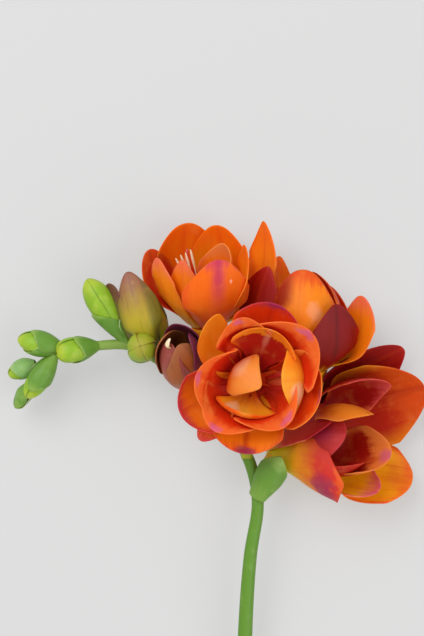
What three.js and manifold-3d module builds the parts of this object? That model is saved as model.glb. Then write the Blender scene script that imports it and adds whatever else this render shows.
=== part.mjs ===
// A cut stem of a double freesia, lying down: one green stem that arches over into
// the flowering spike, four open blooms and eight buds. Millimetres. +X is to the
// right, +Y runs from the cut end to the blooms, +Z is up from the surface. The
// origin is on the surface, under the middle of the bounding box.
import * as THREE from "three";
import { mergeVertices } from "three/addons/utils/BufferGeometryUtils.js";
import Module from "manifold-3d";

const wasm = await Module();
wasm.setup();

// Driving dimensions.
const stemLength = 134; // from the cut end to the first bloom
const stemRadius = 2.75; // at the cut end
const spikeRadius = 2; // where the spike leaves the first bloom
const spikeTipRadius = 1.6; // at the last bud
const spikeHeight = 12; // of the spike's centre line above the surface
const petalThickness = 0.7;
const petalScale = 1; // of every petal's reach, rise and width
const bractThickness = 0.8;
const tubeRootRadius = 1.7;
const tubeMouthRadius = 5.6;
const budScale = 1; // of every bud's length and girth
const clearance = 0.3; // between pieces that touch

// Fineness of the meshes.
const petalRows = 5;
const petalColumns = 4;
const tubeRings = 6;
const tubeSides = 10;
const stemRings = 36;
const coarsest = 0.12; // how far a carved edge may be straightened

const materials = {
  stem: new THREE.MeshStandardMaterial({ color: 0x5f8a38, roughness: 0.5, metalness: 0 }),
  bract: new THREE.MeshStandardMaterial({ color: 0x62853a, roughness: 0.55, metalness: 0 }),
  tube: new THREE.MeshStandardMaterial({ color: 0xd9a32a, roughness: 0.5, metalness: 0 }),
  outerPetal: new THREE.MeshStandardMaterial({ color: 0xd0521c, roughness: 0.5, metalness: 0 }),
  innerPetal: new THREE.MeshStandardMaterial({ color: 0xe8701a, roughness: 0.5, metalness: 0 }),
  stamen: new THREE.MeshStandardMaterial({ color: 0xead9a8, roughness: 0.6, metalness: 0 }),
  greenBud: new THREE.MeshStandardMaterial({ color: 0x86a43a, roughness: 0.5, metalness: 0 }),
  ripeBud: new THREE.MeshStandardMaterial({ color: 0x9a7a45, roughness: 0.5, metalness: 0 }),
};

const rad = THREE.MathUtils.degToRad;
const mix = THREE.MathUtils.lerp;
const vector = (at) => new THREE.Vector3(...at);

// Each whorl's ring, as a share of the tube's mouth, and how its petals leave it: lean
// and belly bend the sheet's line, cup is the radius it is hollowed to, and tip is how
// broad it ends, as a share of its width.
const whorls = {
  outer: { ring: 0.92 * tubeMouthRadius, lean: 72, belly: 0.5, cup: 16, tip: 0.6 },
  cup: { ring: 0.66 * tubeMouthRadius, lean: 70, belly: 0.66, cup: 14, tip: 0.7 },
  inner: { ring: 0.36 * tubeMouthRadius, lean: 40, belly: 0.5, cup: 9, tip: 0.6 },
};

// How a sheet behaves when its own table says nothing: start is the height of its claw,
// drop rounds its tip, sway and twist turn it in degrees from claw to tip, and curl and
// edge roll its tip and its sides inward in millimetres. A higher waist keeps the sheet
// narrow for longer, and hollowBy is the share of its length where it has its full hollow.
const habit = {
  start: clearance, drop: 0.26, sway: 0, twist: 0, curl: 0, edge: 0, claw: 0.6, waist: 1.3, hollowBy: 0.45,
};
const slim = { waist: 2.2, hollowBy: 0.25 }; // for sheets that stand close together
const widestAt = 0.62; // of a sheet's length
const clawSweep = 1.1; // radians that a claw may reach round its ring, to each side
const shoulder = 2.5; // how late the rounding of a tip starts across the sheet
const flare = 2.2; // how late a tube widens towards its mouth
const tubeSag = 0.55; // of a tube's length, that it runs straight behind its mouth
const stamenBundle = { tip: [-4.6, -3.2, 24.5], footRadius: 0.8, tipRadius: 1.5 };
const budShape = { root: 0.9, tip: 0.5, least: 0.12 }; // powers that fill it out, and its finest end
const curlFrom = 0.65; // of the length, where the tip starts to roll

// A bloom's seat is the middle of its tube's mouth, and facing is its axis. A petal
// stands at turn degrees round that axis, and its tip is reach from the axis and
// rise above the seat. A bloom without a seat height lies on the surface.
const blooms = {
  front: {
    root: [-1, 6],
    seat: [-0.2, 32.2, 25.5],
    facing: [0.02, -0.04, 1],
    petals: [
      { whorl: "outer", turn: 75, reach: 26.5, rise: 12, width: 25, tip: 0.75, curl: 1.5 },
      { whorl: "outer", turn: 146, sway: -26, reach: 24, rise: 8, width: 13, cup: 30, tip: 0.85 },
      { whorl: "outer", turn: 203, reach: 26, rise: 10.5, width: 22, tip: 0.7, curl: 2, edge: 1.5 },
      { whorl: "outer", turn: 228, reach: 25, rise: 8, width: 9, tip: 0.8 },
      { whorl: "outer", turn: 264, reach: 23, rise: 9.5, width: 24, cup: 26, tip: 0.85 },
      { whorl: "outer", turn: 350, reach: 24.5, rise: 14, width: 29, tip: 0.75, curl: 4, edge: 2 },
      { whorl: "cup", turn: 41, reach: 20, rise: 21.5, width: 33, cup: 16, curl: -4, ...slim },
      { whorl: "cup", turn: 102, reach: 17, rise: 20, width: 20, cup: 13, curl: -4, ...slim },
      { whorl: "cup", turn: 174, twist: -20, reach: 13.5, rise: 20, width: 27, curl: -5, ...slim },
      { whorl: "cup", turn: 226, reach: 15.5, rise: 17, width: 25, curl: -4, ...slim },
      { whorl: "cup", turn: 308, reach: 12, rise: 17.5, width: 30, cup: 13, curl: -5, ...slim },
      {
        whorl: "inner", turn: 72, reach: 17.5, rise: 16.5, width: 25,
        lean: 62, belly: 0.7, cup: 13, tip: 0.8, ...slim,
      },
      {
        whorl: "inner", turn: 4, reach: 8.6, rise: 16, width: 28,
        lean: 74, belly: 1.5, cup: 18, tip: 0.75, ...slim,
      },
      {
        whorl: "inner", turn: 138, sway: 12, reach: -3, rise: 13.5,
        width: 17, lean: 60, belly: 1, cup: 11, tip: 0.45,
      },
      {
        whorl: "inner", turn: 255, reach: 12, rise: 11.5, width: 22,
        lean: 64, belly: 0.8, cup: 14, tip: 0.8, curl: 2, ...slim,
      },
    ],
  },
  right: {
    root: [2, -5],
    seat: [15, 10.5],
    facing: [0.8, 0.17, 0.57],
    petals: [
      {
        whorl: "outer", turn: 250, twist: -50, reach: 17, rise: 18.5,
        width: 28, ring: 3.6, start: -11, lean: 35, tip: 0.3, drop: 0.3, curl: 2, edge: 1.5,
      },
      {
        whorl: "outer", turn: 138, reach: 9, rise: 19.7, width: 19,
        ring: 3.6, start: -11, lean: 35, tip: 0.8, edge: -1,
      },
      { whorl: "outer", turn: 60, reach: 32, rise: 34, width: 26 },
      { whorl: "outer", turn: 36, reach: 25, rise: 38, width: 34, cup: 22, tip: 0.75 },
      { whorl: "outer", turn: 331, reach: 29.5, rise: 26.5, width: 25, cup: 26, tip: 0.7, drop: 0.16 },
      { whorl: "outer", turn: 305, reach: 21, rise: 22, width: 22, tip: 0.8, edge: 1 },
      {
        whorl: "cup", turn: 325, reach: 9.5, rise: 27.5, width: 26,
        lean: 60, cup: 10, tip: 0.85, drop: 0.14, curl: -3,
      },
      { whorl: "cup", turn: 264, reach: 10, rise: 22, width: 17, lean: 60, cup: 11 },
      { whorl: "cup", turn: 66, reach: 17, rise: 33, width: 18, cup: 14, edge: 3 },
      { whorl: "inner", turn: 160, reach: 3, rise: 21, width: 20, lean: 50, belly: 0.6, cup: 10, tip: 0.8 },
      {
        whorl: "inner", turn: 98, reach: 5.5, rise: 29.5, width: 20,
        lean: 50, belly: 0.7, cup: 11, tip: 0.8, drop: 0.16,
      },
    ],
  },
  upper_right: {
    root: [-3, 12],
    seat: [19, 35.5],
    facing: [-0.06, 0.95, 0.3],
    petals: [
      { whorl: "outer", turn: 305, reach: 16, rise: 25.5, width: 22, cup: 24, tip: 0.6, drop: 0.34 },
      { whorl: "outer", turn: 355, twist: 65, reach: 17.5, rise: 24.4, width: 16, cup: 40, tip: 0.6 },
      { whorl: "outer", turn: 54, reach: 12, rise: 25, width: 20 },
      { whorl: "outer", turn: 126, reach: 14.6, rise: 35, width: 15 },
      {
        whorl: "outer", turn: 192, twist: 50, reach: 11.5, rise: 35.7,
        width: 22, lean: 64, belly: 0.6, cup: 24, tip: 0.4,
      },
      { whorl: "cup", turn: 262, reach: 5, rise: 35, width: 25, lean: 50, belly: 0.75, cup: 12, tip: 0.8 },
      { whorl: "cup", turn: 222, reach: 8, rise: 31, width: 18, lean: 50, cup: 11 },
      { whorl: "inner", turn: 41, reach: 5, rise: 33, width: 20, lean: 50, belly: 0.65, cup: 10, curl: 2 },
    ],
  },
  upper_left: {
    root: [-8, 19.5],
    seat: [-14, 49.5],
    facing: [-0.03, 0.93, 0.36],
    petals: [
      {
        whorl: "outer", turn: 284, reach: 18, rise: 28.7, width: 24,
        lean: 60, cup: 18, tip: 0.72, drop: 0.34,
      },
      { whorl: "outer", turn: 208, twist: 15, reach: 17, rise: 26.4, width: 13, lean: 50, cup: 24 },
      {
        whorl: "outer", turn: 168, twist: -30, reach: 19, rise: 25,
        width: 17, lean: 50, cup: 40, tip: 0.75,
      },
      { whorl: "outer", turn: 120, reach: 15.2, rise: 31.4, width: 28, cup: 22, tip: 0.8, curl: 1.5 },
      { whorl: "outer", turn: 70, reach: 12, rise: 31, width: 24, cup: 22, tip: 0.7, curl: 1 },
      { whorl: "outer", turn: 18, twist: 20, reach: 19.7, rise: 33.2, width: 17, cup: 40, tip: 0.45 },
      {
        whorl: "cup", turn: 334, twist: 48, reach: 14, rise: 29.5,
        width: 16, lean: 50, belly: 0.5, cup: 30, tip: 0.6,
      },
      { whorl: "cup", turn: 236, reach: 12.5, rise: 26.3, width: 14, lean: 50, belly: 0.5, tip: 0.5 },
      { whorl: "inner", turn: 34, reach: 7, rise: 26.5, width: 24, belly: 0.6 },
      { whorl: "inner", turn: 170, reach: 6, rise: 26, width: 15 },
    ],
  },
};

// Each bud grows from a point of the spike to its tip; girth is its radius, and
// sleeve is the share of its length that its bract wraps.
const buds = {
  opening_bud: {
    from: [-19, 30, 10], tip: [-24.3, 45, 30],
    girth: 7.8, sleeve: 0.3, fullest: 0.7, ripe: true,
  },
  striped_bud: {
    from: [-30, 40, 11], tip: [-39.5, 67.5, 20],
    girth: 6.8, sleeve: 0.34, fullest: 0.66, ripe: true,
  },
  round_bud: { from: [-34, 41.5, 12], tip: [-35, 42.8, 27], girth: 4.5, sleeve: 0.5, fullest: 0.6 },
  upright_bud: { from: [-39.5, 43.5, 12.5], tip: [-52.4, 64.3, 17], girth: 4.3, sleeve: 0.5, fullest: 0.66 },
  collared_bud: { from: [-48, 43, 13], tip: [-62.3, 40.6, 17], girth: 3.9, sleeve: 0.62, fullest: 0.75 },
  left_bud: { from: [-59.5, 41.8, 14], tip: [-75, 45, 13], girth: 3.4, sleeve: 0.72, fullest: 0.55 },
  lower_bud: { from: [-62.6, 40.2, 14], tip: [-72.4, 26, 12], girth: 3.2, sleeve: 0.85, fullest: 0.6 },
  last_bud: { from: [-69.3, 37.2, 11], tip: [-78.3, 33.3, 9], girth: 2.7, sleeve: 0.8, fullest: 0.5 },
};

// The green bracts that hold the right bloom's tube at its root.
const bractHabit = { ring: 3.4, lean: 20, belly: 0.5, tip: 0.5 };
const bracts = {
  outer_bract: { turn: 235, reach: 5.2, rise: 17, width: 13, cup: 5 },
  inner_bract: { turn: 60, reach: 4.6, rise: 14, width: 10, cup: 4.5 },
};

// A closed geometry whose every vertex is moved by place, as a solid.
function shaped(geometry, place) {
  geometry.deleteAttribute("normal");
  geometry.deleteAttribute("uv");
  const merged = mergeVertices(geometry);
  const points = merged.attributes.position;
  for (let i = 0; i < points.count; i++) {
    const at = place(points.getX(i), points.getY(i), points.getZ(i));
    points.setXYZ(i, at.x, at.y, at.z);
  }
  return new wasm.Manifold(
    new wasm.Mesh({
      numProp: 3,
      vertProperties: points.array,
      triVerts: new Uint32Array(merged.index.array),
    }),
  );
}

// A round solid along a curve, with its radius at each share t of the length.
function rod(curve, rings, sides, radiusAt) {
  const { normals, binormals } = curve.computeFrenetFrames(rings, false);
  const bar = new THREE.CylinderGeometry(1, 1, 1, sides, rings).translate(0, 0.5, 0);
  return shaped(bar, (x, y, z) => {
    const ring = Math.round(y * rings);
    return curve
      .getPointAt(y)
      .addScaledVector(binormals[ring], x * radiusAt(y))
      .addScaledVector(normals[ring], z * radiusAt(y));
  });
}

// Share of a petal's half width at s, from its claw at 0 to its rounded tip at 1.
function outline(s, claw, tip, waist) {
  const rounding = 2.2;
  if (s < widestAt) return mix(claw, 1, Math.sin((Math.PI / 2) * (s / widestAt)) ** waist);
  return mix(1, tip, ((s - widestAt) / (1 - widestAt)) ** rounding);
}

// A petal or bract: a thin sheet, bent along a curve that leaves its ring at the
// angle lean from the axis and ends at its tip, and hollowed across.
function blade(given, thickness, grow) {
  const petal = { ...habit, ...given };
  const { ring, reach, rise, tip, cup } = petal;
  const start = new THREE.Vector2(ring, petal.start);
  const end = new THREE.Vector2(reach, rise);
  const knee = petal.belly * start.distanceTo(end);
  const lean = rad(petal.lean);
  const bend = new THREE.Vector2(knee * Math.sin(lean), knee * Math.cos(lean)).add(start);
  const spine = new THREE.QuadraticBezierCurve(start, bend, end);
  const length = spine.getLength();
  const half = petal.width / 2;
  const claw = Math.min(petal.claw, (clawSweep * ring) / half);
  const deep = thickness / 2 + grow;
  const sheet = new THREE.BoxGeometry(2, 1, 2, petalColumns, petalRows, 1).translate(0, 0.5, 0);
  return shaped(sheet, (u, v, side) => {
    const s = mix(-grow / length, 1 + grow / length, v);
    const back = s - petal.drop * Math.abs(u) ** shoulder * Math.max(0, s) ** 3;
    const ends = THREE.MathUtils.clamp(back, 0, 1);
    const at = spine.getPoint(ends);
    const way = spine.getTangent(ends);
    at.addScaledVector(way, (back - ends) * length);
    const facing = rad(petal.turn + petal.sway * ends ** 2);
    const radial = new THREE.Vector3(Math.cos(facing), Math.sin(facing), 0);
    const across = new THREE.Vector3(-radial.y, radial.x, 0);
    const inward = radial.clone().multiplyScalar(-way.y);
    inward.z = way.x;
    const along = radial.clone().multiplyScalar(way.x);
    along.z = way.y;
    across.applyAxisAngle(along, rad(petal.twist * ends));
    inward.applyAxisAngle(along, rad(petal.twist * ends));
    const radius = 1 / mix(1 / ring, 1 / cup, Math.min(1, ends / petal.hollowBy));
    const angle = (u * (half * outline(ends, claw, tip, petal.waist) + grow)) / radius;
    const inner = radius + side * deep;
    const tipRoll = petal.curl * Math.max(0, (ends - curlFrom) / (1 - curlFrom)) ** 2;
    const sideRoll = petal.edge * Math.abs(u) ** 3 * Math.min(1, ends * 2);
    return radial
      .clone()
      .multiplyScalar(at.x)
      .setZ(at.y)
      .addScaledVector(across, inner * Math.sin(angle))
      .addScaledVector(inward, radius - inner * Math.cos(angle) + tipRoll + sideRoll);
  });
}

// What the model is made of: each piece has its name, material, group and a
// function that makes its solid, grown by a margin, in that group's own frame.
const spray = new THREE.Group();
const pieces = [];

function bloomGroup(seat, facing) {
  const group = new THREE.Group();
  group.position.copy(vector(seat));
  group.quaternion.setFromUnitVectors(new THREE.Vector3(0, 0, 1), vector(facing).normalize());
  group.updateMatrix();
  spray.add(group);
  return group;
}

// The stem's line from its cut end up to the first bloom, and on along the spike.
const joint = vector([2.6, -8, spikeHeight]);
const alongStem = (share, sideways) =>
  vector([joint.x + sideways, joint.y - share * stemLength, mix(spikeHeight, stemRadius, share)]);
const stemCurve = new THREE.CatmullRomCurve3([
  alongStem(1, -3.6),
  alongStem(0.72, -4.6),
  alongStem(0.33, -4.1),
  alongStem(0.13, -2.4),
  joint,
  vector([0.4, 4, spikeHeight - 0.5]),
  vector([-5.5, 15.5, spikeHeight - 2]),
  vector([-15, 26.5, spikeHeight - 2.5]),
  vector([-27, 36.5, spikeHeight - 1]),
  vector([-38.4, 42.8, spikeHeight]),
  vector([-47.5, 43, spikeHeight + 1]),
]);
const jointShare = stemLength / stemCurve.getLength();

function stemRadiusAt(t) {
  if (t < jointShare) return mix(stemRadius, spikeRadius, (t / jointShare) ** 2);
  return mix(spikeRadius, spikeTipRadius, (t - jointShare) / (1 - jointShare));
}

pieces.push({
  name: "stem",
  material: materials.stem,
  group: spray,
  make: (grow) => rod(stemCurve, stemRings, 12, (t) => stemRadiusAt(t) + grow),
});

// A tube leaves the spike and widens to its mouth, square to the bloom's axis.
function tubeCurve(root, group) {
  const from = vector([...root, spikeHeight]);
  const axis = new THREE.Vector3(0, 0, 1).applyQuaternion(group.quaternion);
  const bend = group.position.clone().addScaledVector(axis, -tubeSag * from.distanceTo(group.position));
  return new THREE.QuadraticBezierCurve3(from, bend, group.position);
}

function petalShape(petal) {
  return {
    ...whorls[petal.whorl],
    ...petal,
    reach: petal.reach * petalScale,
    rise: petal.rise * petalScale,
    width: petal.width * petalScale,
  };
}

const bloomGroups = {};

for (const [bloom, { root, seat, facing, petals }] of Object.entries(blooms)) {
  const group = bloomGroup([seat[0], seat[1], 0], facing);
  bloomGroups[bloom] = group;
  const shapes = petals.map(petalShape);
  const lowest = shapes.map((s) => {
    const turned = blade(s, petalThickness, 0).transform(group.matrix.elements);
    return turned.boundingBox().min[2];
  });
  group.position.z = seat[2] ?? -Math.min(...lowest);
  group.updateMatrix();
  const curve = tubeCurve(root, group);
  const tubeRadius = (t) => mix(tubeRootRadius, tubeMouthRadius, t ** flare);
  pieces.push({
    name: bloom + "_bloom_tube",
    material: materials.tube,
    group: spray,
    make: (grow) => rod(curve, tubeRings, tubeSides, (t) => tubeRadius(t) + grow),
  });
  const count = {};
  shapes.forEach((shape, i) => {
    const kind = petals[i].whorl;
    count[kind] = (count[kind] ?? 0) + 1;
    pieces.push({
      name: bloom + "_" + kind + "_petal_" + count[kind],
      material: kind === "outer" ? materials.outerPetal : materials.innerPetal,
      group,
      make: (grow) => blade(shape, petalThickness, grow),
    });
  });
}

// The stamens and the style of the upper left bloom, joined where they start.
const stamenLine = new THREE.LineCurve3(vector([0, 0, clearance]), vector(stamenBundle.tip));
const stamenRadius = (t) => mix(stamenBundle.footRadius, stamenBundle.tipRadius, t);
pieces.push({
  name: "upper_left_stamens",
  material: materials.stamen,
  group: bloomGroups.upper_left,
  make: (grow) => rod(stamenLine, 2, 6, (t) => stamenRadius(t) + grow),
});

// The bracts stand round the root of the right bloom's tube.
const bractGroup = bloomGroup([2.2, -6.5, spikeHeight], [0.5, 0.85, 0.15]);
for (const [name, bract] of Object.entries(bracts))
  pieces.push({
    name,
    material: materials.bract,
    group: bractGroup,
    make: (grow) => blade({ ...bractHabit, ...bract }, bractThickness, grow),
  });

// A bud is a plump rod, and its bract a sleeve round its root.
for (const [name, { from, tip, girth, sleeve, fullest, ripe }] of Object.entries(buds)) {
  const root = vector(from);
  const reach = vector(tip).sub(root).multiplyScalar(budScale);
  const line = new THREE.LineCurve3(root, root.clone().add(reach));
  const swell = (t) => {
    const side = t < fullest ? t / fullest : (1 - t) / (1 - fullest);
    const power = t < fullest ? budShape.root : budShape.tip;
    return Math.max(budShape.least, Math.sin((Math.PI / 2) * side) ** power);
  };
  const wrap = (t) => (t < sleeve ? bractThickness * Math.sin(Math.PI * (t / sleeve)) ** 0.5 : 0);
  pieces.push({
    name,
    material: ripe ? materials.ripeBud : materials.greenBud,
    group: spray,
    make: (grow) => rod(line, 10, 10, (t) => girth * budScale * swell(t) + wrap(t) + grow),
  });
}

// Pieces that press on each other are carved to leave the clearance between them,
// and a piece that is cut in two keeps its larger part.
const largest = (solid) =>
  solid.decompose().reduce((best, body) => (body.volume() > best.volume() ? body : best));

function apart(a, b) {
  const [p, q] = [a.boundingBox(), b.boundingBox()];
  return [0, 1, 2].some((i) => p.min[i] > q.max[i] || q.min[i] > p.max[i]);
}

spray.updateMatrixWorld(true);
const placed = [];
for (const { name, material, group, make } of pieces) {
  const world = group.matrixWorld.elements;
  let solid = make(0).transform(world);
  for (const other of placed) {
    if (!apart(solid, other)) solid = solid.subtract(other);
  }
  solid = largest(solid.simplify(coarsest));
  placed.push(make(clearance).transform(world));
  const back = group.matrixWorld.clone().invert().elements;
  const { vertProperties, triVerts } = solid.transform(back).getMesh();
  const geometry = new THREE.BufferGeometry()
    .setAttribute("position", new THREE.BufferAttribute(vertProperties, 3))
    .setIndex(new THREE.BufferAttribute(triVerts, 1));
  geometry.computeVertexNormals();
  const mesh = new THREE.Mesh(geometry, material);
  mesh.name = name;
  group.add(mesh);
}

// The origin goes under the middle of the bounding box.
const freesia = new THREE.Group();
freesia.add(spray);
const box = new THREE.Box3().setFromObject(spray, true);
spray.position.set(-(box.min.x + box.max.x) / 2, -(box.min.y + box.max.y) / 2, -box.min.z);

export default freesia;
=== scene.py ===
import math

import bpy
from mathutils import Matrix, Vector


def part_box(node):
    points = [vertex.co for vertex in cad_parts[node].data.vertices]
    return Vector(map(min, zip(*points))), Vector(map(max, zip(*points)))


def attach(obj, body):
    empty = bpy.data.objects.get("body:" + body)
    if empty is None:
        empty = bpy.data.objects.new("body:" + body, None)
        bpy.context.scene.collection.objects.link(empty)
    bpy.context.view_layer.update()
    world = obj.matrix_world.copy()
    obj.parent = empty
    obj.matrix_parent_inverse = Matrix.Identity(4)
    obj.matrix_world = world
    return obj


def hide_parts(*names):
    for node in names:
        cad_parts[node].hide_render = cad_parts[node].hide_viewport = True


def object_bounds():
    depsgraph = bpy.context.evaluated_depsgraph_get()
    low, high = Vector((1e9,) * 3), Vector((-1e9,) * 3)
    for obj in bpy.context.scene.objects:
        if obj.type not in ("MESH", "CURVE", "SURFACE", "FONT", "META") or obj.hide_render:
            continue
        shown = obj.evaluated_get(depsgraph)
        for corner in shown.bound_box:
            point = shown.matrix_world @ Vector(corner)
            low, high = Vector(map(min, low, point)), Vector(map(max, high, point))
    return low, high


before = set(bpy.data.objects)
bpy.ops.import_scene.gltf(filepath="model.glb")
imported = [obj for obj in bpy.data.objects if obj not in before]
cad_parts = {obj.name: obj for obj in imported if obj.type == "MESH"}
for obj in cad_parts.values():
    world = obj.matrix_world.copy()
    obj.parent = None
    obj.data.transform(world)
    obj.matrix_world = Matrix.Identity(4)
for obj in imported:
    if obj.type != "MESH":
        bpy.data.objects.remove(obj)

cadBox = [list(corner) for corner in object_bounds()]
surfaceZ = cadBox[0][2]  # what the flower lies on
print("frame loaded:", len(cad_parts), "CAD nodes")


# Small helpers

def mm(value):
    return value / 1000


def blendBetween(a, b, share):
    return a + (b - a) * share


def clamp(value, low=0.0, high=1.0):
    return min(high, max(low, value))


def linear(hexColour):
    # sRGB hex to the linear colour that a shader socket wants
    channels = [int(hexColour[i:i + 2], 16) / 255 for i in (1, 3, 5)]
    return [c / 12.92 if c <= 0.04045 else ((c + 0.055) / 1.055) ** 2.4 for c in channels] + [1.0]


def addNode(tree, kind, settings=None, inputs=None):
    # settings are the node's own properties; an input is a value, a socket, or a node's first output
    node = tree.nodes.new(kind)
    for key, value in (settings or {}).items():
        setattr(node, key, value)
    for key, value in (inputs or {}).items():
        if isinstance(value, bpy.types.Node):
            value = value.outputs[0]
        if isinstance(value, bpy.types.NodeSocket):
            tree.links.new(value, node.inputs[key])
        else:
            node.inputs[key].default_value = value
    return node


def newMaterial(name):
    material = bpy.data.materials.new(name)
    material.use_nodes = True
    material.node_tree.nodes.clear()
    return material, material.node_tree


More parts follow.
